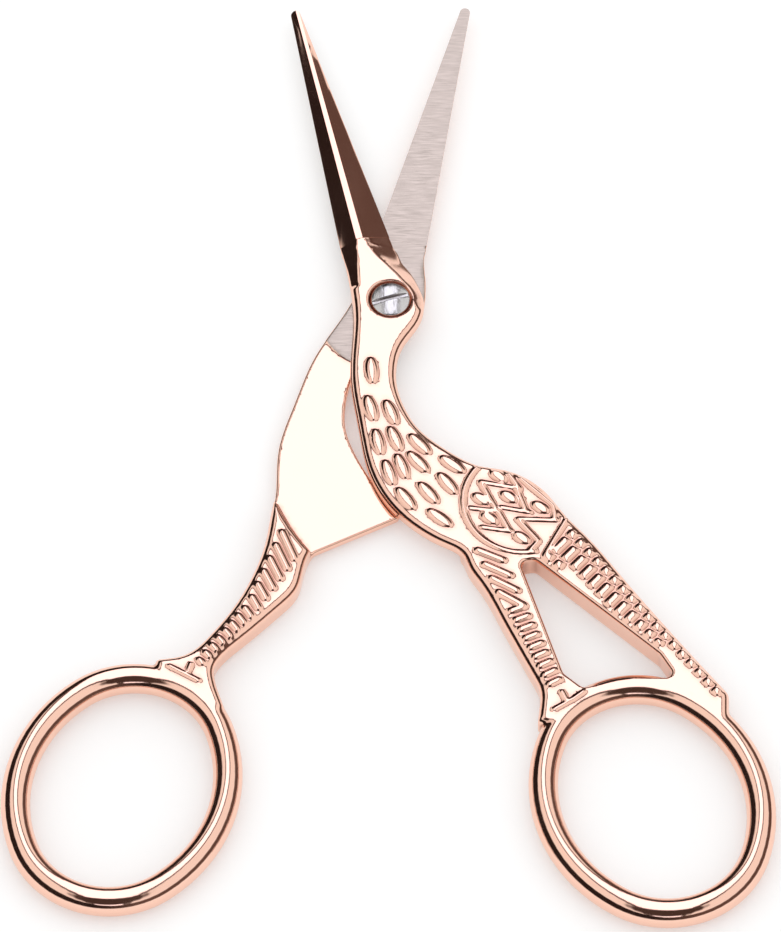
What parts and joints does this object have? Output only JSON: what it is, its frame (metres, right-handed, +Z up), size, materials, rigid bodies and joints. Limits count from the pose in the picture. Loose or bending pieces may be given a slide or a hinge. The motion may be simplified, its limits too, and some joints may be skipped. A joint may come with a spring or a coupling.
{
  "type": "embroidery scissors",
  "caption": "Small pivoted embroidery scissors in the form of a long-beaked bird, with finger rings, ribbed legs, feathers and a slotted pivot screw.",
  "frame": {"origin": "on the pivot axis, in the plane that the pair rests on", "axes": "+Y towards the points, +Z up out of the decorated face, +X to the right with the decorated face up"},
  "size_m": [0.077, 0.1077, 0.0034],
  "materials": {
    "front_plating": "polished rose plating",
    "rear_plating": "polished rose plating, ground steel at the pivot and blade",
    "screw_steel": "satin steel"
  },
  "bodies": {
    "rear": {"rear_half": "rear_plating", "pivot_screw": "screw_steel"},
    "front": {"front_half": "front_plating"}
  },
  "joints": [
    {"name": "pivot", "type": "hinge", "parent": "rear", "child": "front", "pos_m": [0, 0, 0.0017], "axis": [0, 0, 1], "range_deg": [-27.6, 129]}
  ]
}
